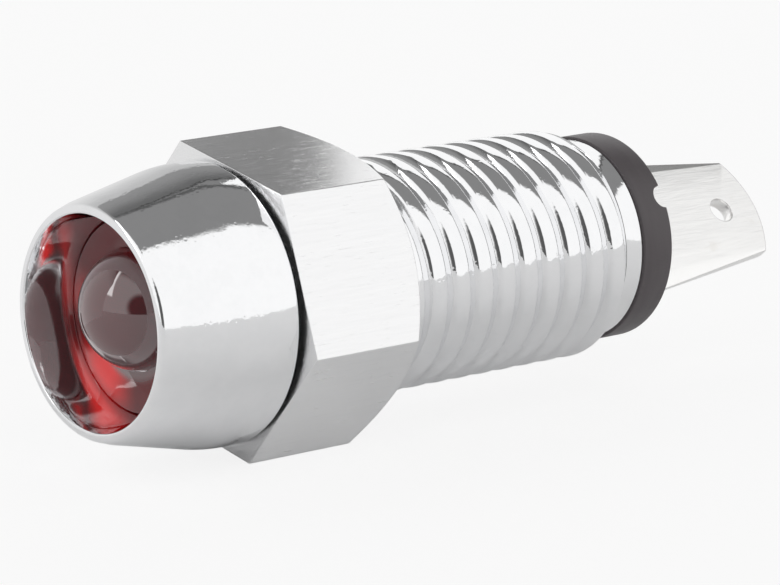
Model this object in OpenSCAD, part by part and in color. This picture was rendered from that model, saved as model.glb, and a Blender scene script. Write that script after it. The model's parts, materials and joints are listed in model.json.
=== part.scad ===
// Panel pilot light: chromed bezel and threaded shank in one piece, a hexagon
// nut on the thread, a red lens over a 5 mm light-emitting diode, its series
// resistor inside the shank and one blade terminal in a black insulator.
// The shank itself is the second pole: the diode's short lead is earthed to it.
// The axis runs along Y, the lens looks along -Y and the bezel seats at y = 0.

/* [Bezel] */
// outside diameter of the bezel at its seat
bezel_d = 14; // [13:0.1:18]
// height of the bezel in front of its seat
bezel_h = 7.35; // [5:0.05:12]
// taper of the bezel's side, in degrees
bezel_taper = 12; // [4:0.5:20]
// radius that blends the taper into the straight base
bezel_blend = 8; // [3:0.5:14]
// thickness of the bezel's wall at the rim
rim_wall = 0.5; // [0.3:0.05:1]
// depth of the recess from the rim to the lens
recess_depth = 2.6; // [1:0.05:4]
// taper of the recess wall, in degrees
recess_taper = 11; // [2:0.5:20]

/* [Shank] */
// outside diameter over the thread's crests
thread_d = 11.9; // [10:0.05:14]
// length of thread behind the seat
thread_len = 22.2; // [14:0.1:35]
// diameter of the plain end behind the thread
collar_d = 10.5; // [9.6:0.1:11]
// length of the shank behind the seat
shank_len = 24.1; // [16:0.1:40]
// diameter of the bore through the shank
bore_d = 8.4; // [7:0.1:9]

/* [Nut] */
// width of the nut across its flats
nut_af = 14; // [13:0.1:19]
// length of the nut
nut_len = 7.3; // [3:0.1:10]
// gap between the seat and the nut as it stands
nut_gap = 0.25; // [0.05:0.05:12]
// turn of the nut's first flat from level, in degrees
nut_turn = 19; // [0:1:60]
// slope of the chamfer on the nut's rear corners, in degrees
nut_chamfer = 38; // [20:1:45]

/* [Lens] */
// thickness of the lens flange
lens_t = 1.3; // [0.8:0.05:2.5]
// radius of the lens dome
dome_r = 3; // [2.8:0.05:3.6]
// distance of the dome's centre behind its flange face
dome_back = 0.6; // [0.1:0.05:1.2]

/* [Diode] */
// diameter of the diode's body
led_d = 5; // [4.6:0.1:5.2]
// height of the diode from its dome to its base
led_h = 8.6; // [7:0.1:10]
// diameter of the diode's base flange
led_flange_d = 5.8; // [5.4:0.1:6.2]
// thickness of the base flange
led_flange_t = 1; // [0.5:0.1:1.5]
// distance between the two leads
lead_pitch = 2.54; // [2:0.02:3]
// side of the square leads
lead_w = 0.5; // [0.4:0.05:0.6]
// length over which the long lead laps the resistor's front wire
lead_lap = 3; // [2:0.1:4]
// length of the cut lead behind the base
cathode_len = 1.7; // [1.4:0.1:3]

/* [Resistor] */
// diameter of the resistor's barrel
res_d = 2.2; // [1.6:0.1:2.6]
// length of the resistor
res_len = 6.3; // [4:0.1:8]
// diameter of its wires
wire_d = 0.6; // [0.4:0.05:0.8]
// length of the front wire
wire_front = 4; // [2.5:0.5:6]
// length of the rear wire
wire_rear = 3.5; // [2.5:0.1:6]

/* [Insulator and terminal] */
// diameter of the black insulator's flange
plug_d = 10.7; // [9.6:0.1:11.8]
// thickness of the flange
plug_t = 2; // [1:0.1:4]
// length of the insulator's stem inside the bore
plug_stem = 3.2; // [2:0.1:6]
// length of the blade behind the insulator
blade_len = 11.05; // [6:0.05:16]
// width of the blade at its root
blade_root_w = 8.2; // [6:0.1:9]
// width of the blade at its tip
blade_tip_w = 5.35; // [4:0.05:8]
// thickness of the blade
blade_t = 0.8; // [0.5:0.1:1.2]
// width of the flat face between the bevels at the root
face_root_w = 6.1; // [4:0.1:8]
// depth of the bevel at the root of the blade
bevel_depth = 0.3; // [0.1:0.05:0.38]
// radius of the rounded tip
tip_r = 5.1; // [3:0.1:12]
// diameter of the wire hole
hole_d = 1.4; // [1:0.1:2]
// distance of the wire hole from the tip
hole_back = 2.6; // [1.5:0.1:5]
// width of the tail inside the insulator
tail_w = 3; // [2:0.1:5]
// turn of the blade's face from level, in degrees
blade_turn = 40.5; // [0:0.5:90]

/* [Hidden] */
$fn = 96;
// clearances between pieces
slide_gap = 0.05;
seat_gap = 0.03;
edge = 0.25;
fine_edge = 0.12;

// bezel
seat_r = bezel_d / 2;
thread_r = thread_d / 2;
bore_r = bore_d / 2;
collar_r = collar_d / 2;
blend_from = 0.9;
blend_run = bezel_blend * sin(bezel_taper);
blend_drop = bezel_blend * (1 - cos(bezel_taper));
rim_r = seat_r - blend_drop - (bezel_h - blend_from - blend_run) * tan(bezel_taper);
mouth_r = rim_r - rim_wall;
rim_round = rim_wall * 0.64;
lip_round = rim_wall * 0.2;
lens_face = recess_depth - bezel_h;
lens_back = lens_face + lens_t;
pocket_r = mouth_r - recess_depth * tan(recess_taper);
thread_chamfer = 0.6;

// nut
nut_bore_r = thread_r + slide_gap;
nut_corner_r = nut_af / sqrt(3);
nut_face_r = nut_af / 2 - 0.15;
nut_drop = (nut_corner_r + 1 - nut_face_r) * tan(nut_chamfer);

// lens and diode
lens_r = pocket_r - seat_gap;
dome_at = lens_face + dome_back;
cavity_r = led_d / 2 + slide_gap;
led_r = led_d / 2;
led_base = dome_at - led_r + led_h;
led_flange_r = led_flange_d / 2;
lead_x = lead_pitch / 2;
frame_t = 0.5;
cup_r = 0.75;
cup_h = 0.55;
cup_at = led_base - led_h + 4.3;
chip_w = 0.35;
frame_foot = led_base - led_flange_t;

// holder and earth ring
holder_r = bore_r - slide_gap;
holder_end = led_base + 0.25;
ring_t = 0.5;
ring_in = 3.1;
ring_end = holder_end + ring_t;
ring_tab_w = 1.6;
lead_hole_r = lead_w * 0.72;

// resistor, in front of the insulator, on a line that laps the tail and the long lead
plug_front = shank_len - plug_stem;
wire_r = wire_d / 2;
res_x = blade_t / 2 + wire_r;
wire_end = plug_front - 0.3;
res_back = wire_end - wire_rear;
res_at = res_back - res_len;
wire_at = res_at - wire_front;
lead_end = wire_at + lead_lap;
sleeve_in = res_d / 2 + 0.15;
sleeve_wall = 0.3;
sleeve_at = max(wire_at - 0.6, ring_end + 0.8);
sleeve_end = res_back + 0.6;
tubing_in = lead_w * 0.72;
tubing_wall = 0.2;

// insulator and terminal
plug_r = plug_d / 2;
plug_back = shank_len + plug_t;
tail_at = res_back + 0.9;
blade_tip = plug_back + blade_len;
hole_at = blade_tip - hole_back;
face_tip_w = blade_tip_w - 0.1;
bevel_turn = atan((face_root_w - face_tip_w) / 2 / blade_len);
bevel_tilt = atan(bevel_depth / ((blade_root_w - face_root_w) / 2));
nick_turn = 30.5;

// points of an arc about [cx, cy] from angle a to angle b
function arc(cx, cy, r, a, b, steps = 8) = [
    for (i = [0 : steps]) [cx + r * cos(a + (b - a) * i / steps), cy + r * sin(a + (b - a) * i / steps)]
];

// the modelling axis Z becomes the object's axis Y
module on_axis() {
    rotate([-90, 0, 0]) children();
}

// what lines up with the blade: X along the blade's normal
module on_blade() {
    on_axis() rotate([0, 0, -blade_turn]) children();
}

// round bar or tube between two places along the axis
module tube(r, from, to, hole = 0) {
    difference() {
        translate([0, 0, from]) cylinder(r = r, h = to - from);
        if (hole > 0) translate([0, 0, from - 1]) cylinder(r = hole, h = to - from + 2);
    }
}

// solid of revolution of the bezel, its shank and its bore
module bezel_body() {
    color([0.86, 0.87, 0.88])
    on_axis() rotate_extrude() polygon(concat(
        arc(seat_r - edge, -edge, edge, 90, 0),
        arc(seat_r - bezel_blend, -blend_from, bezel_blend, 0, -bezel_taper),
        arc(rim_r - rim_round, rim_round - bezel_h, rim_round, -bezel_taper, -90),
        arc(mouth_r + lip_round, lip_round - bezel_h, lip_round, -90, recess_taper - 180, 4),
        [
            [pocket_r, lens_face],
            [pocket_r, lens_back],
            [bore_r, lens_back],
            [bore_r, shank_len - fine_edge],
            [bore_r + fine_edge, shank_len],
            [collar_r - fine_edge, shank_len],
            [collar_r, shank_len - fine_edge],
            [collar_r, thread_len + thread_chamfer],
            [thread_r, thread_len],
            [thread_r, 0]
        ]
    ));
}

// hexagon bar, square in front, with turned corners and a countersink behind
module hex_nut() {
    color([0.78, 0.79, 0.80])
    on_axis() translate([0, 0, nut_gap]) difference() {
        intersection() {
            rotate([0, 0, 30 - nut_turn]) cylinder(r = nut_corner_r, h = nut_len, $fn = 6);
            union() {
                translate([0, 0, nut_len - nut_drop])
                    cylinder(r1 = nut_corner_r + 1, r2 = nut_face_r, h = nut_drop);
                translate([0, 0, -1]) cylinder(r = nut_corner_r + 1, h = nut_len + 1 - nut_drop);
            }
        }
        translate([0, 0, -1]) cylinder(r = nut_bore_r, h = nut_len + 2);
        translate([0, 0, nut_len - 0.4]) cylinder(r1 = nut_bore_r, r2 = nut_bore_r + 0.6, h = 0.6);
    }
}

// flange and dome in one moulding, hollow for the diode
module lens() {
    color([0.75, 0.05, 0.05, 0.7])
    on_axis() difference() {
        union() {
            tube(lens_r, lens_face, lens_back);
            intersection() {
                translate([0, 0, dome_at]) sphere(r = dome_r);
                tube(dome_r + 1, dome_at - dome_r - 1, lens_face + lens_t / 2);
            }
        }
        translate([0, 0, dome_at]) sphere(r = cavity_r);
        tube(cavity_r, dome_at, lens_back + 1);
    }
}

// lead frame with the cup that carries the chip
module cathode_shape() {
    translate([-lead_x - lead_w / 2, -lead_w / 2, frame_foot - 1])
        cube([lead_w, lead_w, led_flange_t + 1 + cathode_len]);
    translate([-lead_x - lead_w / 2, -frame_t / 2, cup_at + cup_h - 0.1])
        cube([lead_x + lead_w / 2 + 0.4, frame_t, frame_foot - 1 - cup_at - cup_h + 0.1 + 0.1]);
    difference() {
        tube(cup_r, cup_at, cup_at + cup_h);
        translate([0, 0, cup_at - 0.01]) cylinder(r1 = cup_r - 0.12, r2 = 0.3, h = 0.36);
    }
}

// lead frame with the post that the chip's fine wire goes to
module anode_shape() {
    translate([lead_x - lead_w / 2, -lead_w / 2, frame_foot - 1])
        cube([lead_w, lead_w, lead_end - frame_foot + 1]);
    translate([cup_r + 0.15, -frame_t / 2, cup_at])
        cube([lead_x + lead_w / 2 - cup_r - 0.15, frame_t, frame_foot - 1 - cup_at + 0.1]);
}

module chip_shape() {
    translate([-chip_w / 2, -chip_w / 2, cup_at + 0.35 - chip_w / 2]) cube([chip_w, chip_w, chip_w / 2]);
}

module led_cathode() {
    color([0.80, 0.80, 0.78]) on_blade() cathode_shape();
}

module led_anode() {
    color([0.80, 0.80, 0.78]) on_blade() anode_shape();
}

module led_chip() {
    color([0.95, 0.75, 0.30]) on_blade() chip_shape();
}

// moulded round the lead frames, with the flat that marks the short lead
module led_body() {
    color([0.85, 0.10, 0.08, 0.8])
    on_blade() difference() {
        union() {
            translate([0, 0, dome_at]) sphere(r = led_r);
            tube(led_r, dome_at, led_base);
            difference() {
                tube(led_flange_r, led_base - led_flange_t, led_base);
                translate([-led_r - 2, -led_flange_r - 1, led_base - led_flange_t - 1])
                    cube([2, 2 * led_flange_r + 2, led_flange_t + 2]);
            }
        }
        cathode_shape();
        anode_shape();
        chip_shape();
    }
}

// bush that centres the diode behind the lens
module led_holder() {
    color([0.10, 0.10, 0.11])
    on_axis() difference() {
        tube(holder_r, lens_back, holder_end, cavity_r);
        tube(led_flange_r + slide_gap, led_base - led_flange_t, holder_end + 1);
    }
}

// spring ring in the bore, with the tab that the cut lead is soldered to
module earth_ring() {
    color([0.80, 0.64, 0.28])
    on_blade() difference() {
        union() {
            tube(bore_r, holder_end, ring_end, ring_in);
            translate([-ring_in - 0.4, -ring_tab_w / 2, holder_end]) cube([ring_in + 0.4 - 0.5, ring_tab_w, ring_t]);
        }
        translate([-lead_x, 0, holder_end - 1]) cylinder(r = lead_hole_r, h = ring_t + 2);
    }
}

module earth_solder() {
    color([0.70, 0.71, 0.72])
    on_blade() difference() {
        translate([-lead_x, 0, ring_end]) cylinder(r1 = 0.72, r2 = 0.4, h = 0.6);
        cathode_shape();
    }
}

module anode_tubing() {
    color([0.92, 0.92, 0.90])
    on_blade() translate([lead_x, 0, 0]) tube(tubing_in + tubing_wall, led_base, wire_at - 0.3, tubing_in);
}

// solder round the lap of the long lead and the front wire
module anode_solder() {
    color([0.70, 0.71, 0.72])
    on_blade() difference() {
        translate([(lead_x + res_x) / 2, 0, 0]) tube(0.85, wire_at + 0.2, lead_end - 0.3);
        anode_shape();
        translate([res_x, 0, 0]) tube(wire_r, wire_at, res_at);
    }
}

module resistor_front_wire() {
    color([0.78, 0.78, 0.76]) on_blade() translate([res_x, 0, 0]) tube(wire_r, wire_at, res_at);
}

// lacquered barrel, a little fatter over its two end caps
module resistor_body() {
    color([0.80, 0.70, 0.50])
    on_blade() translate([res_x, 0, res_at]) rotate_extrude() polygon(concat(
        [[0, 0]],
        arc(res_d / 2 - 0.3, 0.3, 0.3, -90, 0, 6),
        [
            [res_d / 2, 1.2],
            [res_d / 2 - 0.15, 1.7],
            [res_d / 2 - 0.15, res_len - 1.7],
            [res_d / 2, res_len - 1.2]
        ],
        arc(res_d / 2 - 0.3, res_len - 0.3, 0.3, 0, 90, 6),
        [[0, res_len]]
    ));
}

module resistor_rear_wire() {
    color([0.78, 0.78, 0.76]) on_blade() translate([res_x, 0, 0]) tube(wire_r, res_back, wire_end);
}

module resistor_sleeve() {
    color([0.85, 0.85, 0.80])
    on_blade() translate([res_x, 0, 0]) tube(sleeve_in + sleeve_wall, sleeve_at, sleeve_end, sleeve_in);
}

// solder round the rear wire where it lies on the tail
module terminal_solder() {
    color([0.70, 0.71, 0.72])
    on_blade() difference() {
        translate([blade_t / 2, 0, 0]) tube(0.9, tail_at + 0.3, wire_end + 0.2);
        translate([-2, -2, tail_at - 1]) cube([2 + blade_t / 2, 4, wire_end - tail_at + 3]);
        translate([res_x, 0, 0]) tube(wire_r, res_back, wire_end);
    }
}

// flange outside, stem in the bore, slot for the tail and a nick in the edge
module insulator_plug() {
    color([0.12, 0.11, 0.12])
    difference() {
        on_axis() rotate_extrude() polygon([
            [0, plug_front],
            [bore_r - slide_gap - 0.2, plug_front],
            [bore_r - slide_gap, plug_front + 0.3],
            [bore_r - slide_gap, shank_len],
            [plug_r - fine_edge, shank_len],
            [plug_r, shank_len + fine_edge],
            [plug_r, plug_back - fine_edge],
            [plug_r - fine_edge, plug_back],
            [0, plug_back]
        ]);
        on_blade() translate([-blade_t / 2 - seat_gap, -tail_w / 2 - seat_gap, plug_front - 1])
            cube([blade_t + 2 * seat_gap, tail_w + 2 * seat_gap, plug_stem + plug_t + 2]);
        on_axis() rotate([0, 0, -nick_turn]) translate([plug_r + 0.1, 0, plug_back])
            scale([0.5, 0.5, 0.5]) rotate([0, 45, 0]) cylinder(r = 1.3, h = 3, center = true);
    }
}

// stamped blade with bevelled sides, a rounded tip and a tail through the slot
module blade_terminal() {
    color([0.90, 0.90, 0.88])
    on_blade() difference() {
        union() {
            intersection() {
                rotate([0, -90, 0]) translate([0, 0, -blade_t / 2]) linear_extrude(blade_t) polygon([
                    [plug_back, -blade_root_w / 2],
                    [plug_back, blade_root_w / 2],
                    [blade_tip, blade_tip_w / 2],
                    [blade_tip, -blade_tip_w / 2]
                ]);
                union() {
                    translate([0, 0, blade_tip - tip_r]) rotate([0, 90, 0]) cylinder(r = tip_r, h = 4, center = true);
                    translate([-2, -blade_root_w, plug_back - 1]) cube([4, 2 * blade_root_w, blade_len + 1 - tip_r]);
                }
            }
            translate([-blade_t / 2, -tail_w / 2, tail_at]) cube([blade_t, tail_w, plug_back - tail_at + 1]);
        }
        for (side = [-1, 1], face = [-1, 1]) bevel_cut(side, face);
        translate([0, 0, hole_at]) rotate([0, 90, 0]) cylinder(d = hole_d, h = 4, center = true);
    }
}

// removes what lies outside one bevel plane of the blade
module bevel_cut(side, face) {
    mirror([face < 0 ? 1 : 0, 0, 0]) mirror([0, side < 0 ? 1 : 0, 0])
    translate([blade_t / 2, face_root_w / 2, plug_back])
    rotate([bevel_turn, 0, 0]) rotate([0, 0, bevel_tilt])
    translate([0, -0.01, 0]) cube([4, 8, blade_len + 2]);
}

bezel_body();
hex_nut();
lens();
led_body();
led_cathode();
led_anode();
led_chip();
led_holder();
earth_ring();
earth_solder();
anode_tubing();
anode_solder();
resistor_front_wire();
resistor_body();
resistor_rear_wire();
resistor_sleeve();
terminal_solder();
insulator_plug();
blade_terminal();
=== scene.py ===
import json
import math

import bpy
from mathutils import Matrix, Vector


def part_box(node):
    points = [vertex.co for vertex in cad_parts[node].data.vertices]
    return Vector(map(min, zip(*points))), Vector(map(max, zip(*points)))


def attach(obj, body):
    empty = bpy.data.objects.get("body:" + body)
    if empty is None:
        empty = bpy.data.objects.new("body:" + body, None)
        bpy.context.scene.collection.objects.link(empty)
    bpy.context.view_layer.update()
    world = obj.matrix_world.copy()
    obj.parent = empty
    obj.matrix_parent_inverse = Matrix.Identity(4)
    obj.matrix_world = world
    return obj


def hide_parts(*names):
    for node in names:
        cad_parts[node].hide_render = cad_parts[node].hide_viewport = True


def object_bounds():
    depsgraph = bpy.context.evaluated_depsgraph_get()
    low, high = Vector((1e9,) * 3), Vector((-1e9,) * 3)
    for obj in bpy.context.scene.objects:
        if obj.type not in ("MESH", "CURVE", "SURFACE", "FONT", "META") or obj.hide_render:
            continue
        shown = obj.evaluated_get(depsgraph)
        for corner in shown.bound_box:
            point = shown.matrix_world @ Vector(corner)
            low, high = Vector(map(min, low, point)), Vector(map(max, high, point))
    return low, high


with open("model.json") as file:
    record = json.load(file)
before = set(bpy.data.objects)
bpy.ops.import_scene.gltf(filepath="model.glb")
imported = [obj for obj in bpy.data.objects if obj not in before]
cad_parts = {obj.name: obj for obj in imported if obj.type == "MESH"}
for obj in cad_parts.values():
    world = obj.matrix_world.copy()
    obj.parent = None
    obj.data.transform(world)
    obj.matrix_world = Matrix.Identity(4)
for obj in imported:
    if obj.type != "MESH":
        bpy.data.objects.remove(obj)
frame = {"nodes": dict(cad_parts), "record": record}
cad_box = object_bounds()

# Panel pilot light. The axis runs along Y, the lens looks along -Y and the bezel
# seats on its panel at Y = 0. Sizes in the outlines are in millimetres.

MM = 0.001
WELD = 1e-7
FULL_TURN = 2 * math.pi
IN_DEGREES = 180 / math.pi
TURNED_STEPS = 192
THREAD_STEPS = 120


# ---------------------------------------------------------------- bench tools

def clear_bench():
    """Nothing stays selected, so the next operator acts on the new piece only."""
    bpy.ops.object.select_all(action="DESELECT")


def work_on(piece):
    clear_bench()
    piece.select_set(True)
    bpy.context.view_layer.objects.active = piece


def named(piece, name):
    piece.name = name
    piece.data.name = name
    return piece


def place_in_mesh(piece):
    """The object goes back to the origin, and its place stays in its mesh."""
    work_on(piece)
    bpy.ops.object.transform_apply(location=True, rotation=True, scale=True)
    return piece


def mend_normals(piece):
    work_on(piece)
    bpy.ops.object.mode_set(mode="EDIT")
    bpy.ops.mesh.select_all(action="SELECT")
    bpy.ops.mesh.remove_doubles(threshold=WELD)
    bpy.ops.mesh.normals_make_consistent(inside=False)
    bpy.ops.object.mode_set(mode="OBJECT")
    return piece


def smooth(piece, angle=32):
    work_on(piece)
    bpy.ops.object.shade_smooth_by_angle(angle=math.radians(angle))
    return piece


def apply_last_modifier(piece, **settings):
    modifier = piece.modifiers[-1]
    for key, value in settings.items():
        setattr(modifier, key, value)
    bpy.ops.object.modifier_apply(modifier=modifier.name)


def cut(piece, tool, operation="DIFFERENCE"):
    """A cut with another solid, which is used up."""
    work_on(piece)
    bpy.ops.object.modifier_add(type="BOOLEAN")
    apply_last_modifier(piece, operation=operation, solver="EXACT", object=tool)
    bpy.data.objects.remove(tool)
    return piece


def break_edges(piece, width, angle=30, segments=2):
    work_on(piece)
    bpy.ops.object.modifier_add(type="BEVEL")
    apply_last_modifier(piece, width=width * MM, segments=segments, limit_method="ANGLE",
                        angle_limit=math.radians(angle), use_clamp_overlap=True)
    return piece


def flatten_shading(piece):
    """Large flat faces keep their own normals beside their rounded edges."""
    work_on(piece)
    bpy.ops.object.modifier_add(type="WEIGHTED_NORMAL")
    apply_last_modifier(piece, keep_sharp=True, weight=80)
    return piece


def arc(centre_radius, centre_place, radius, first, last, steps=6):
    """Points of a round in an outline, from one angle to another, in degrees."""
    points = []
    for i in range(steps + 1):
        a = math.radians(first + (last - first) * i / steps)
        points.append((centre_radius + radius * math.cos(a), centre_place + radius * math.sin(a)))
    return points


def draw_outline(points):
    """The outline, (radius, place along the axis), is drawn edge by edge in the XY plane."""
    clear_bench()
    bpy.ops.mesh.primitive_plane_add(size=MM)
    bpy.ops.object.mode_set(mode="EDIT")
    bpy.ops.mesh.merge(type="CENTER")
    bpy.ops.transform.translate(value=(points[0][0] * MM, points[0][1] * MM, 0))
    for (r0, y0), (r1, y1) in zip(points, points[1:]):
        step = ((r1 - r0) * MM, (y1 - y0) * MM, 0)
        bpy.ops.mesh.extrude_region_move(TRANSFORM_OT_translate={"value": step})
    bpy.ops.mesh.select_all(action="SELECT")
    bpy.ops.mesh.remove_doubles(threshold=WELD)
    bpy.ops.object.mode_set(mode="OBJECT")
    return bpy.context.object


def turned(name, points, steps=TURNED_STEPS):
    """A turned piece: its outline is spun once round the axis."""
    piece = draw_outline(points)
    bpy.ops.object.mode_set(mode="EDIT")
    bpy.ops.mesh.select_all(action="SELECT")
    bpy.ops.mesh.spin(steps=steps, angle=FULL_TURN, center=(0, 0, 0), axis=(0, 1, 0))
    bpy.ops.object.mode_set(mode="OBJECT")
    mend_normals(piece)
    return named(piece, name)


def ring_closed(points):
    return points + [points[0]]


def select_where(piece, kind, test):
    """Selects the edges or faces whose middle passes the test, in edit mode."""
    bpy.ops.object.mode_set(mode="OBJECT")
    mesh = piece.data
    for group in (mesh.vertices, mesh.edges, mesh.polygons):
        group.foreach_set("select", [False] * len(group))
    for part in getattr(mesh, kind):
        corners = [mesh.vertices[i].co for i in part.vertices]
        if test(part, sum(corners, Vector()) / len(corners)):
            part.select = True
    bpy.ops.object.mode_set(mode="EDIT")


def open_edges(mesh):
    """Indices of the edges that have a face on one side only."""
    uses = {}
    for face in mesh.polygons:
        for key in face.edge_keys:
            uses[key] = uses.get(key, 0) + 1
    return {e.index for e in mesh.edges if uses.get(e.key, 0) == 1}


def thread_rod(name, crest, depth, pitch, start, turns, phase):
    """A closed bar with a helical V thread; half is its outline from the crest's middle to the root."""
    half_gap = 0.31
    slope = math.tan(math.radians(30))
    half = [
        (0.0, pitch / 2), (-0.006, 0.62), (-0.018, 0.52),
        (-0.030, half_gap + 0.11), (-0.045, half_gap + 0.055),
        (-0.075, half_gap + 0.015), (-0.120, half_gap - 0.120 * slope + 0.015),
        (-(depth - 0.16), 0.105), (-(depth - 0.08), 0.070), (-(depth - 0.025), 0.040),
    ]
    outline = [(crest + r, -y) for r, y in half] + [(crest - depth, 0.0)]
    outline += [(crest + r, y) for r, y in reversed(half)]
    rod = draw_outline([(r, y + start + phase) for r, y in outline])
    bpy.ops.object.modifier_add(type="SCREW")
    apply_last_modifier(rod, axis="Y", angle=FULL_TURN, screw_offset=pitch * MM, iterations=turns,
                        steps=THREAD_STEPS, render_steps=THREAD_STEPS,
                        use_merge_vertices=True, merge_threshold=1e-6)
    middle = (start + pitch * turns / 2) * MM
    for side in (-1, 1):
        loose = open_edges(rod.data)
        select_where(rod, "edges", lambda e, at: e.index in loose and (at.y - middle) * side > 0)
        bpy.ops.mesh.edge_face_add()
        bpy.ops.object.mode_set(mode="OBJECT")
    mend_normals(rod)
    return named(rod, name)


# ---------------------------------------------------------------- finishes

class Wire:
    """One output of a finish's nodes, so that a pattern is written as a sum."""

    def __init__(self, finish, socket):
        self.finish = finish
        self.socket = socket

    def _sum(self, operation, *values):
        sockets = dict(enumerate(values))
        return self.finish.node("ShaderNodeMath", {"operation": operation}, sockets)

    def __add__(self, other):
        return self._sum("ADD", self, other)

    def __radd__(self, other):
        return self._sum("ADD", other, self)

    def __sub__(self, other):
        return self._sum("SUBTRACT", self, other)

    def __rsub__(self, other):
        return self._sum("SUBTRACT", other, self)

    def __mul__(self, other):
        return self._sum("MULTIPLY", self, other)

    def __rmul__(self, other):
        return self._sum("MULTIPLY", other, self)

    def __truediv__(self, other):
        return self._sum("DIVIDE", self, other)

    def __rtruediv__(self, other):
        return self._sum("DIVIDE", other, self)

    def __pow__(self, other):
        return self._sum("POWER", self, other)


class Finish:
    """A finish and the nodes that make its pattern."""

    def __init__(self, tree, shader):
        self.tree = tree
        self.shader = shader

    def node(self, kind, settings=None, sockets=None, out=0):
        made = self.tree.nodes.new(kind)
        for key, value in (settings or {}).items():
            setattr(made, key, value)
        for key, value in (sockets or {}).items():
            self.join(made.inputs[key], value)
        return Wire(self, made.outputs[out])

    def join(self, socket, value):
        if isinstance(value, Wire):
            self.tree.links.new(value.socket, socket)
        else:
            socket.default_value = value

    def set(self, **values):
        """Base_Color=... sets or joins the shader's socket Base Color."""
        for key, value in values.items():
            self.join(self.shader.inputs[key.replace("_", " ")], value)

    def place(self):
        return self.node("ShaderNodeTexCoord", out="Object")

    def stretched(self, scale):
        return self.node("ShaderNodeMapping", {}, {"Vector": self.place(), "Scale": scale})

    def axes(self, vector=None):
        parts = self.node("ShaderNodeSeparateXYZ", {}, {0: vector or self.place()})
        outputs = parts.socket.node.outputs
        return [Wire(self, outputs[i]) for i in range(3)]

    def noise(self, scale, detail=3.0, rough=0.55, vector=None):
        return self.node("ShaderNodeTexNoise", {}, {
            "Vector": vector or self.place(), "Scale": scale, "Detail": detail, "Roughness": rough})

    def cells(self, scale):
        return self.node("ShaderNodeTexVoronoi", {"feature": "F1"}, {"Vector": self.place(), "Scale": scale})

    def step(self, value, low, high, bottom=0.0, top=1.0):
        return self.node("ShaderNodeMapRange", {"interpolation_type": "SMOOTHSTEP"}, {
            "Value": value, "From Min": low, "From Max": high, "To Min": bottom, "To Max": top})

    def blend(self, mask, first, second):
        made = self.node("ShaderNodeMix", {"data_type": "RGBA"}, {"Factor": mask}, out=2)
        inputs = made.socket.node.inputs
        self.join(inputs[6], colour(first))
        self.join(inputs[7], colour(second))
        return made

    def bump(self, height, strength, distance):
        return self.node("ShaderNodeBump", {}, {
            "Height": height, "Strength": strength, "Distance": distance * MM})


def colour(value):
    return value if isinstance(value, Wire) else (*value, 1)


def new_finish(name, **plain):
    material = bpy.data.materials.new(name)
    material.use_nodes = True
    tree = material.node_tree
    finish = Finish(tree, tree.nodes["Principled BSDF"])
    finish.material = material
    finish.set(**plain)
    return finish


def chrome_finish():
    """Bright chrome plate: a faint waviness, fine pits and a slightly dull skin."""
    f = new_finish("chrome_plate", Metallic=1.0)
    x, y, z = f.axes()
    radius = (x * x + z * z) ** 0.5
    recess = (1 - f.step(radius, 5.0 * MM, 5.5 * MM)) * (1 - f.step(y, -4.8 * MM, -4.0 * MM))
    outside = 1 - recess
    wave = f.noise(420, 2)
    grain = f.noise(2600, 3, 0.6)
    pits = f.step(f.cells(3300), 0.05, 0.40)
    patch = f.step(f.noise(800, 3), 0.42, 0.60)
    f.set(
        Base_Color=f.blend(grain * 0.5 + patch * 0.3, (0.955, 0.957, 0.965), (0.90, 0.905, 0.915)),
        Roughness=0.03 + grain * 0.05 + (1 - pits) * 0.06 * outside,
        Normal=f.bump((wave * 0.010 + grain * 0.0030 + pits * patch * 0.0030) * outside, 1.0, 1.0),
    )
    return f.material


def drawn_bar_finish():
    """Plated hexagon bar: drawing lines run along it."""
    f = new_finish("nut_plate", Metallic=1.0)
    lines = f.noise(1, 5, 0.65, f.stretched((5200, 260, 5200)))
    scratches = f.step(f.noise(1, 2, 0.5, f.stretched((9000, 900, 9000))), 0.60, 0.72)
    specks = f.step(f.cells(2600), 0.0, 0.22)
    f.set(
        Base_Color=f.blend(lines, (0.88, 0.88, 0.885), (0.97, 0.97, 0.972)),
        Roughness=0.16 + lines * 0.12 + scratches * 0.05,
        Normal=f.bump(lines * 0.012 + scratches * 0.004 + specks * 0.003, 1.0, 1.0),
    )
    return f.material


def red_lens_finish():
    """Clear red moulding, drawn opaque, with a painted glow at the dome's foot where light would gather; the
    dome is glossier.
    """
    f = new_finish("red_lens", Roughness=0.03, IOR=1.49, Coat_IOR=2.0, Coat_Roughness=0.03)
    x, _, z = f.axes()
    radius = (x * x + z * z) ** 0.5
    flange = f.step(radius, 2.9 * MM, 3.4 * MM)
    turn = f.node("ShaderNodeMath", {"operation": "ARCTAN2"}, {0: z, 1: x}) * IN_DEGREES
    # Painted light: a red glow under the dome's foot and beside it, painted by position into base colour and
    # emission.
    painted_glow_under = f.step(turn, -165, -132) * (1 - f.step(turn, -122, -85))
    painted_glow_beside = f.step(turn * turn, 150 ** 2, 178 ** 2) * f.step(z, -1.2 * MM, 0.4 * MM)
    painted_glow = (painted_glow_under + painted_glow_beside * 0.35) * flange * (1 - f.step(radius, 4.1 * MM, 4.9 * MM) * 0.5)
    cloud = f.noise(700, 2)
    skin = f.blend(cloud, (0.080, 0.006, 0.010), (0.110, 0.008, 0.012))
    skin = f.blend(flange * 0.9, skin, (0.15, 0.010, 0.012))
    # The painted glow brightens the base colour and drives the emission.
    f.set(
        Base_Color=f.blend(painted_glow * 0.8, skin, (0.60, 0.012, 0.010)),
        Coat_Weight=1 - flange * 0.95,
        Emission_Color=f.blend(painted_glow, (0.0, 0.0, 0.0), (0.28, 0.004, 0.004)),
        Emission_Strength=1.0,
    )
    return f.material


def resin_finish():
    f = new_finish("red_resin", Roughness=0.08, IOR=1.53)
    cloud = f.noise(500, 3)
    f.set(Base_Color=f.blend(cloud, (0.55, 0.015, 0.012), (0.70, 0.03, 0.02)))
    return f.material


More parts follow.
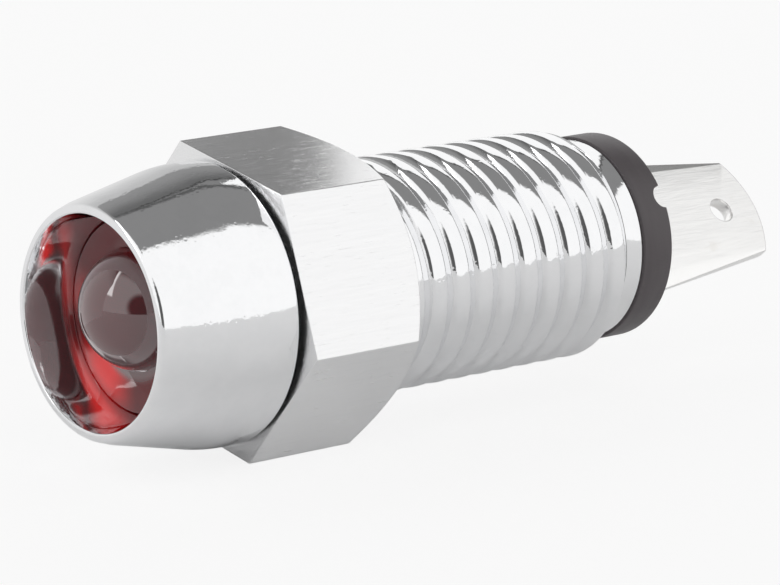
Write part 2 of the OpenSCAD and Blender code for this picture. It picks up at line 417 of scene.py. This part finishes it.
def black_plastic_finish():
    """Moulded black nylon with a satin skin and fine flow marks."""
    f = new_finish("black_plastic", IOR=1.5)
    grain = f.noise(7000, 4, 0.6)
    flow = f.noise(1, 3, 0.5, f.stretched((300, 1500, 300)))
    f.set(
        Base_Color=f.blend(flow, (0.070, 0.060, 0.064), (0.105, 0.092, 0.097)),
        Roughness=0.36 + grain * 0.14,
        Normal=f.bump(grain * 0.004 + flow * 0.006, 1.0, 1.0),
    )
    return f.material


def tinned_blade_finish():
    """Tinned brass strip: soft sheen, rolling lines and small stains scattered over it."""
    f = new_finish("tinned_blade", Metallic=1.0)
    rolling = f.noise(1, 4, 0.6, f.stretched((3000, 400, 3000)))
    stain = f.step(f.noise(900, 4, 0.6), 0.58, 0.75)
    f.set(
        Base_Color=f.blend(stain * 0.3, (0.97, 0.965, 0.955), (0.84, 0.81, 0.76)),
        Roughness=0.16 + rolling * 0.10,
        Normal=f.bump(rolling * 0.006, 1.0, 1.0),
    )
    return f.material


def metal_finish(name, first, second, rough, scale):
    """Plain small metal parts: a tone that varies with a fine grain."""
    f = new_finish(name, Metallic=1.0)
    grain = f.noise(scale, 4, 0.6)
    f.set(Base_Color=f.blend(grain, first, second), Roughness=rough + grain * 0.15,
          Normal=f.bump(grain, 0.4, 0.01))
    return f.material


def tubing_finish():
    f = new_finish("white_tubing", Roughness=0.55)
    weave = f.noise(1, 3, 0.5, f.stretched((2500, 900, 2500)))
    f.set(Base_Color=f.blend(weave, (0.78, 0.77, 0.72), (0.88, 0.87, 0.83)),
          Normal=f.bump(weave, 0.5, 0.03))
    return f.material


def lacquer_finish():
    """Tan resistor lacquer with four bands of colour."""
    f = new_finish("resistor_lacquer", Roughness=0.32)
    _, y, _ = f.axes()
    low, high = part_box("resistor_body")
    along = (y - low.y) / (high.y - low.y)
    cloud = f.noise(1800, 3)
    tone = f.blend(cloud, (0.60, 0.45, 0.26), (0.68, 0.53, 0.33))
    orange, violet, brown, gold = (0.42, 0.20, 0.02), (0.33, 0.02, 0.45), (0.30, 0.10, 0.02), (0.60, 0.42, 0.12)
    band_inside, band_outside = 0.035, 0.045
    for at, paint in ((0.13, orange), (0.34, violet), (0.50, brown), (0.87, gold)):
        starts = f.step(along, at - band_outside, at - band_inside)
        inside = starts * (1 - f.step(along, at + band_inside, at + band_outside))
        tone = f.blend(inside, tone, paint)
    f.set(Base_Color=tone, Normal=f.bump(cloud, 0.3, 0.02))
    return f.material


chrome = chrome_finish()
drawn_bar = drawn_bar_finish()
red_lens = red_lens_finish()
red_resin = resin_finish()
black_plastic = black_plastic_finish()
tinned_blade = tinned_blade_finish()
tinned_lead = metal_finish("tinned_lead", (0.72, 0.71, 0.68), (0.82, 0.81, 0.79), 0.28, 2200)
brass = metal_finish("brass", (0.70, 0.50, 0.20), (0.80, 0.62, 0.30), 0.24, 1800)
solder = metal_finish("solder", (0.58, 0.59, 0.60), (0.74, 0.75, 0.76), 0.22, 1500)
chip = metal_finish("chip", (0.75, 0.55, 0.20), (0.88, 0.70, 0.32), 0.30, 9000)
white_tubing = tubing_finish()
lacquer = lacquer_finish()


def dress(piece, material):
    piece.data.materials.clear()
    piece.data.materials.append(material)
    return piece


CARRIED_OVER = {
    "led_cathode": tinned_lead, "led_anode": tinned_lead, "led_chip": chip, "led_holder": black_plastic,
    "earth_ring": brass, "earth_solder": solder, "anode_tubing": white_tubing, "anode_solder": solder,
    "resistor_front_wire": tinned_lead, "resistor_body": lacquer, "resistor_rear_wire": tinned_lead,
    "resistor_sleeve": white_tubing, "terminal_solder": solder,
}
for node_name, material in CARRIED_OVER.items():
    holder = frame["nodes"][node_name]
    for slot in holder.material_slots:
        slot.material = material
    if not holder.material_slots:
        holder.data.materials.append(material)


# ---------------------------------------------------------------- sizes from the frame

def size_mm(node):
    low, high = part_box(node)
    return low / MM, high / MM


bezel_low, bezel_high = size_mm("bezel_body")
nut_low, nut_high = size_mm("hex_nut")
lens_low, lens_high = size_mm("lens")
plug_low, plug_high = size_mm("insulator_plug")
led_low, led_high = size_mm("led_body")
_, blade_high = size_mm("blade_terminal")

PITCH = 1.5
THREAD_CREST = 5.95
THREAD_DEPTH = 0.54
THREAD_PHASE = 0.8
NECK = 5.25
NECK_END = 0.7
BORE = 4.2
SEAT = bezel_high.x
RIM = -bezel_low.y
SHANK_END = bezel_high.y
TAPER = 12
BLEND = 8.0
LENS_FACE = -4.75
LENS_BACK = lens_high.y
LENS_RADIUS = lens_high.x
POCKET = LENS_RADIUS + 0.03
RIM_WALL = 0.5
RIM_ROUND = 0.32
LIP_ROUND = 0.10
SEAT_EDGE = 0.25
STRAIGHT_BASE = 0.9
SMALL_EDGE = 0.12
THREAD_START = -2.25
OVER_CREST = THREAD_CREST + 0.05


# ---------------------------------------------------------------- bezel and shank

def bezel_piece():
    """A turned shell, with its recess and bore, and a threaded stud joined where they meet."""
    slope = math.tan(math.radians(TAPER))
    blend_drop = BLEND * (1 - math.cos(math.radians(TAPER)))
    blend_run = BLEND * math.sin(math.radians(TAPER))
    rim_radius = SEAT - blend_drop - (RIM - STRAIGHT_BASE - blend_run) * slope
    mouth = rim_radius - RIM_WALL
    outline = [(NECK, NECK_END), (NECK, 0.16)]
    outline += arc(NECK + SMALL_EDGE, SMALL_EDGE, SMALL_EDGE, 180, 270, 3)
    outline += arc(SEAT - SEAT_EDGE, -SEAT_EDGE, SEAT_EDGE, 90, 0, 6)
    outline += arc(SEAT - BLEND, -STRAIGHT_BASE, BLEND, 0, -TAPER, 8)
    outline += [(SEAT - blend_drop - d * slope, -STRAIGHT_BASE - blend_run - d) for d in (1.0, 2.0, 3.0, 4.0)]
    outline += arc(rim_radius - RIM_ROUND, RIM_ROUND - RIM, RIM_ROUND, -TAPER, -90, 8)
    outline += arc(mouth + LIP_ROUND, LIP_ROUND - RIM, LIP_ROUND, -90, -169, 5)
    outline += [(mouth - (mouth - POCKET) * t, -RIM + LIP_ROUND + (RIM + LENS_FACE - LIP_ROUND) * t)
                for t in (0.3, 0.65, 1.0)]
    outline += [(POCKET, LENS_BACK), (BORE, LENS_BACK), (BORE, 2.0), (BORE, 9.0), (BORE, 16.0),
                (BORE, SHANK_END - SMALL_EDGE), (BORE + SMALL_EDGE, SHANK_END), (NECK - SMALL_EDGE, SHANK_END)]
    shell = turned("bezel_body_chrome", outline)

    stud = turned("stud", [
        (0.0, NECK_END), (NECK, NECK_END), (NECK, 1.15), (OVER_CREST, 1.85), (OVER_CREST, 8.0),
        (OVER_CREST, 15.0), (OVER_CREST, 22.15), (NECK + 0.04, 22.86), (NECK, 22.95),
        (NECK, SHANK_END - SMALL_EDGE), (NECK - SMALL_EDGE, SHANK_END), (0.0, SHANK_END)])
    rod = thread_rod("rod", THREAD_CREST, THREAD_DEPTH, PITCH, THREAD_START, 18, THREAD_PHASE)
    cut(stud, rod, "INTERSECT")
    ends = (NECK_END * MM, SHANK_END * MM)
    select_where(stud, "polygons",
                 lambda face, at: abs(face.normal.y) > 0.9 and min(abs(at.y - e) for e in ends) < 1e-5)
    bpy.ops.mesh.delete(type="FACE")
    bpy.ops.object.mode_set(mode="OBJECT")
    clear_bench()
    stud.select_set(True)
    shell.select_set(True)
    bpy.context.view_layer.objects.active = shell
    bpy.ops.object.join()
    work_on(shell)
    bpy.ops.object.mode_set(mode="EDIT")
    bpy.ops.mesh.select_all(action="SELECT")
    bpy.ops.mesh.remove_doubles(threshold=2e-6)
    bpy.ops.mesh.normals_make_consistent(inside=False)
    bpy.ops.object.mode_set(mode="OBJECT")
    return smooth(shell, 35)


bezel = dress(bezel_piece(), chrome)
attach(bezel, "lamp")
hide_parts("bezel_body")


# ---------------------------------------------------------------- nut

def nut_turn():
    """The turn of the nut's corners, from its farthest vertex."""
    corner = max((v.co for v in frame["nodes"]["hex_nut"].data.vertices), key=lambda p: p.x ** 2 + p.z ** 2)
    return math.atan2(corner.z, corner.x), math.hypot(corner.x, corner.z) / MM


def nut_piece():
    """A hexagon cut by a turned blank. The tap's cut takes nothing away, so the bore stays plain."""
    turn, corner = nut_turn()
    length = nut_high.y - nut_low.y
    clear_bench()
    bpy.ops.mesh.primitive_cylinder_add(
        vertices=6, radius=corner * MM, depth=length * MM, end_fill_type="NGON",
        location=(0, (nut_low.y + nut_high.y) / 2 * MM, 0), rotation=(math.pi / 2, math.pi / 2 - turn, 0))
    nut = place_in_mesh(named(bpy.context.object, "hex_nut_plate"))
    face_radius, beyond, past, bore_edge = 6.85, 1, 0.01, 0.65
    drop = (corner + beyond - face_radius) * math.tan(math.radians(38))
    bore = THREAD_CREST - THREAD_DEPTH + 0.05
    blank = turned("blank", ring_closed([
        (bore, nut_low.y + bore_edge), (bore + bore_edge, nut_low.y - past), (bore + 2, nut_low.y - past),
        (corner + beyond, nut_low.y - past), (corner + beyond, nut_high.y + past - drop),
        (face_radius, nut_high.y + past), (bore + bore_edge, nut_high.y + past),
        (bore, nut_high.y - bore_edge)]), 144)
    cut(nut, blank, "INTERSECT")
    break_edges(nut, 0.07, 28)
    rod = thread_rod("tap", OVER_CREST, THREAD_DEPTH, PITCH, THREAD_START, 8, THREAD_PHASE)
    cut(nut, rod)
    mend_normals(nut)
    smooth(nut, 30)
    return flatten_shading(nut)


nut = dress(nut_piece(), drawn_bar)
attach(nut, "nut")
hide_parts("hex_nut")


# ---------------------------------------------------------------- lens and diode

def lens_piece():
    """A flanged disc and a dome that stands a little above its middle, with a socket for the diode."""
    dome_radius, dome_at, rise, socket_radius = 3.1, lens_low.y + 3.0, 0.35, 2.55
    dome_root, behind = LENS_FACE + 0.9, LENS_BACK + 0.5
    disc = turned("lens_red", ring_closed([
        (0.0, LENS_FACE), (1.5, LENS_FACE), (3.6, LENS_FACE), (LENS_RADIUS - 0.10, LENS_FACE),
        (LENS_RADIUS - 0.03, LENS_FACE + 0.03), (LENS_RADIUS, LENS_FACE + 0.10),
        (LENS_RADIUS, LENS_BACK - 0.05), (LENS_RADIUS - 0.05, LENS_BACK), (0.0, LENS_BACK)]), 128)
    outline = arc(0, dome_at, dome_radius, -90, -2, 26)
    outline[0] = (0.0, outline[0][1])
    outline += [(dome_radius, dome_root), (0.0, dome_root)]
    dome = turned("dome", outline, 128)
    bpy.ops.object.mode_set(mode="EDIT")
    bpy.ops.mesh.select_all(action="SELECT")
    bpy.ops.transform.translate(value=(0, 0, rise * MM))
    bpy.ops.object.mode_set(mode="OBJECT")
    cut(disc, dome, "UNION")
    socket = arc(0, dome_at, socket_radius, -90, 0, 14)
    socket[0] = (0.0, socket[0][1])
    cut(disc, turned("socket", socket + [(socket_radius, behind), (0.0, behind)], 96))
    mend_normals(disc)
    return smooth(disc, 30)


lens = dress(lens_piece(), red_lens)
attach(lens, "lamp")
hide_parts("lens")


def diode_piece():
    """The resin body of the diode, solid round its leads."""
    radius, flange, edge = 2.5, 2.9, 0.06
    dome_at = led_low.y + radius
    base = led_high.y
    outline = arc(0, dome_at, radius, -90, 0, 18)
    outline += [(radius, base - 1.05), (radius + 0.05, base - 1.0), (flange - edge, base - 1.0),
                (flange, base - 0.94), (flange, base - edge), (flange - edge, base), (0.0, base)]
    outline[0] = (0.0, outline[0][1])
    return smooth(turned("led_resin", outline, 96), 40)


diode = dress(diode_piece(), red_resin)
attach(diode, "lamp")
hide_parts("led_body")


# ---------------------------------------------------------------- insulator

def blade_turn():
    hole = next(m for m in frame["record"]["mounts"] if m["name"] == "wire_hole")
    return math.atan2(hole["axis"][2], hole["axis"][0])


def insulator_piece():
    """A turned plug with a slot for the blade and a nick in its edge."""
    radius, front, back, stem = plug_high.x, SHANK_END, plug_high.y, BORE - 0.05
    start = plug_low.y
    front_edge, back_edge = 0.10, 0.14
    outline = [(0.0, start), (stem - 0.2, start), (stem, start + 0.3), (stem, front),
               (radius - front_edge, front)]
    outline += arc(radius - front_edge, front + front_edge, front_edge, -90, 0, 4)
    outline += arc(radius - back_edge, back - back_edge, back_edge, 0, 90, 5)
    outline += [(radius - 0.8, back), (0.0, back)]
    plug = turned("insulator_plug_black", outline, 160)
    slot_thick, slot_wide = 0.86, 3.06
    clear_bench()
    bpy.ops.mesh.primitive_cube_add(
        size=1, location=(0, (start + back) / 2 * MM, 0), rotation=(0, -blade_turn(), 0),
        scale=(slot_thick * MM, (back - start + 2) * MM, slot_wide * MM))
    cut(plug, place_in_mesh(bpy.context.object))
    nick_at, nick_radius, nick_long = math.radians(30.5), 0.62, 1.6
    nick_out = (radius + 0.1) * MM
    clear_bench()
    bpy.ops.mesh.primitive_cylinder_add(
        vertices=40, radius=nick_radius * MM, depth=nick_long * MM, rotation=(0, math.pi / 2 - nick_at, 0),
        location=(nick_out * math.cos(nick_at), (back - 0.05) * MM, nick_out * math.sin(nick_at)))
    cut(plug, place_in_mesh(bpy.context.object))
    mend_normals(plug)
    return smooth(plug, 35)


insulator = dress(insulator_piece(), black_plastic)
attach(insulator, "lamp")
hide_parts("insulator_plug")


# ---------------------------------------------------------------- blade terminal

def bisected(point, direction):
    """Everything beyond the plane is cut off the piece in edit mode, and the cut is closed."""
    bpy.ops.mesh.select_all(action="SELECT")
    bpy.ops.mesh.bisect(plane_co=[c * MM for c in point], plane_no=direction, use_fill=True,
                        clear_outer=True, threshold=WELD)


def blade_piece():
    """A bevelled blade with a rounded tip and a hole, on a tail that runs into the plug."""
    thick, root, tip_y = 0.8, plug_high.y, blade_high.y
    root_half, tip_half, face_half, tip_face_half = 4.1, 2.675, 3.05, 2.625
    round_radius, bevel_depth, tip_bevel = 5.1, 0.3, 0.16
    tail_start, tail_wide, into_blade = 18.0, 3.0, 0.5
    hole_radius, hole_back = 0.7, 2.6
    length = tip_y - root
    clear_bench()
    bpy.ops.mesh.primitive_cube_add(size=1, location=(0, (root + tip_y) / 2 * MM, 0),
                                    scale=(thick * MM, length * MM, 2 * root_half * MM))
    blade = place_in_mesh(named(bpy.context.object, "blade_terminal_tinned"))
    bpy.ops.object.mode_set(mode="EDIT")
    narrowing = math.atan((root_half - tip_half) / length)
    bevel_turn = math.atan((face_half - tip_face_half) / length)
    bevel_tilt = math.atan(bevel_depth / (root_half - face_half))
    for side in (-1, 1):
        bisected((0, root, side * root_half), (0, math.sin(narrowing), side * math.cos(narrowing)))
        for face in (-1, 1):
            normal = Vector((face * math.cos(bevel_tilt), math.sin(bevel_turn) * math.sin(bevel_tilt),
                             side * math.sin(bevel_tilt) * math.cos(bevel_turn)))
            bisected((face * thick / 2, root, side * face_half), normal)
    centre = tip_y - round_radius
    steps = 14
    spread = math.asin(tip_half / round_radius)
    for i in range(steps + 1):
        a = spread * (2 * i / steps - 1) * 1.04
        across, along = math.sin(a), math.cos(a)
        edge = (0, centre + round_radius * along, round_radius * across)
        bisected(edge, (0, along, across))
        for face in (-1, 1):
            corner = (face * thick / 2, edge[1] - tip_bevel * along, edge[2] - tip_bevel * across)
            bisected(corner, (face * 0.66, 0.75 * along, 0.75 * across))
    bpy.ops.object.mode_set(mode="OBJECT")
    tail_end = root + into_blade
    clear_bench()
    bpy.ops.mesh.primitive_cube_add(size=1, location=(0, (tail_start + tail_end) / 2 * MM, 0),
                                    scale=(thick * MM, (tail_end - tail_start) * MM, tail_wide * MM))
    cut(blade, place_in_mesh(bpy.context.object), "UNION")
    clear_bench()
    bpy.ops.mesh.primitive_cylinder_add(
        vertices=48, radius=hole_radius * MM, depth=4 * MM, rotation=(0, math.pi / 2, 0),
        location=(0, (tip_y - hole_back) * MM, 0))
    cut(blade, place_in_mesh(bpy.context.object))
    break_edges(blade, 0.05, 18)
    blade.rotation_euler = (0, -blade_turn(), 0)
    place_in_mesh(blade)
    mend_normals(blade)
    smooth(blade, 30)
    return flatten_shading(blade)


blade = dress(blade_piece(), tinned_blade)
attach(blade, "lamp")
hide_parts("blade_terminal")


# ---------------------------------------------------------------- floor, light and camera

def lay_floor():
    """A pale floor that keeps the shadow and is nearly white to the camera."""
    floor_side, camera_white = 6, 0.85
    clear_bench()
    bpy.ops.mesh.primitive_plane_add(size=floor_side, location=(0, 0, cad_box[0].z))
    floor = named(bpy.context.object, "floor")
    f = new_finish("pale_floor", Roughness=0.7, Base_Color=(0.90, 0.90, 0.90, 1))
    ray = f.node("ShaderNodeLightPath", out="Is Camera Ray")
    white = f.node("ShaderNodeEmission", {}, {"Color": (1, 1, 1, 1), "Strength": 1.0})
    mixed = f.node("ShaderNodeMixShader", {}, {0: ray * camera_white})
    mixer = mixed.socket.node
    f.tree.links.new(f.shader.outputs[0], mixer.inputs[1])
    f.tree.links.new(white.socket, mixer.inputs[2])
    f.tree.links.new(mixed.socket, f.tree.nodes["Material Output"].inputs["Surface"])
    dress(floor, f.material)


def light_tent():
    """White tent walls, a darker gap overhead, a bright window in front and the dark camera side."""
    world = bpy.data.worlds.new("light_tent")
    bpy.context.scene.world = world
    world.use_nodes = True
    tree = world.node_tree
    f = Finish(tree, tree.nodes["Background"])
    way = f.node("ShaderNodeTexCoord", out="Generated")
    x, y, z = f.axes(way)
    tilt = f.node("ShaderNodeMath", {"operation": "ARCTAN2"}, {0: x, 1: z}) * IN_DEGREES
    gap = f.step(tilt, -29, -26) * (1 - f.step(tilt, 17, 22)) * f.step(y, -0.55, -0.35)
    seam = f.step(tilt, -28, -25) * (1 - f.step(tilt, -24, -21)) * f.step(y, -0.1, 0.1)
    toward = f.node("ShaderNodeVectorMath", {"operation": "DOT_PRODUCT"},
                    {0: way, 1: (0.744, -0.634, 0.211)}, out="Value")
    dark_side = f.step(toward, 0.88, 0.96)
    window = f.step(tilt, -66, -58) * (1 - f.step(tilt, -20, -16))
    window = window * f.step(z, 0.38, 0.44) * f.step(y * -1, 0.30, 0.42)
    camera_ray = f.node("ShaderNodeLightPath", out="Is Camera Ray")
    glossy_ray = f.node("ShaderNodeLightPath", out="Is Glossy Ray")
    walls = (1.0 - gap * 0.76 - seam * 0.14) * (1 - dark_side * 0.90)
    level = walls + window * glossy_ray * 2.7
    strength = f.node("ShaderNodeMath", {"operation": "MAXIMUM"}, {0: level, 1: camera_ray})
    f.set(Color=(1, 1, 1, 1), Strength=strength)


def hang_grey_card():
    """A flat grey card beside the lamp that glows, seen only in glossy reflections; its fold and crease are
    painted light and shade.
    """
    card = draw_outline(ring_closed([(-8, -60), (-8, 17), (12, 22), (24, 29.5), (52, 31.5), (52, -60)]))
    bpy.ops.object.mode_set(mode="EDIT")
    bpy.ops.mesh.select_all(action="SELECT")
    bpy.ops.mesh.edge_face_add()
    bpy.ops.object.mode_set(mode="OBJECT")
    card.rotation_euler = (0, -math.pi / 2, 0)
    card.location = (-20 * MM, 0, 0)
    named(card, "grey_card")
    f = new_finish("grey_card")
    height, along, _ = f.axes()
    # Painted shade: the fold, the crease and the lit and shaded sides around them are painted into the card's
    # glow.
    painted_fold = (height + along * 0.62) * 1000 - 25.84
    line = (height + along * 1.03) * 1000 - 63.3
    painted_lit_face = f.step(painted_fold, -19, -1, 0.78, 0.52)
    painted_shaded_face = f.step(painted_fold, -0.8, 0.8, 0.0, -0.24) - f.step(painted_fold, 0.8, 26) * 0.14
    painted_crease = f.step(line, -1.5, 0) * (1 - f.step(line, 1.0, 3.0)) * -0.08
    level = painted_lit_face + painted_shaded_face + painted_crease + f.step(line, 1.0, 6) * 0.08
    glowing = f.node("ShaderNodeEmission", {}, {"Strength": level})
    f.tree.links.new(glowing.socket, f.tree.nodes["Material Output"].inputs["Surface"])
    dress(card, f.material)
    card.visible_camera = card.visible_diffuse = card.visible_shadow = card.visible_transmission = False


def set_camera():
    data = bpy.data.cameras.new("camera")
    camera = bpy.data.objects.new("camera", data)
    bpy.context.scene.collection.objects.link(camera)
    bpy.context.scene.camera = camera
    data.lens = 204.27
    data.sensor_width = 36
    data.clip_start = 0.01
    data.clip_end = 10
    azimuth, height = math.radians(49.576), math.radians(12.206)
    level = math.cos(height)
    back = Vector((math.sin(azimuth) * level, -math.cos(azimuth) * level, math.sin(height)))
    camera.rotation_mode = "QUATERNION"
    camera.rotation_quaternion = (-back).to_track_quat("-Z", "Y")
    camera.location = Vector((0.16590, -0.12981, 0.04604))


lay_floor()
light_tent()
hang_grey_card()
set_camera()
bpy.context.scene.view_settings.view_transform = "Standard"
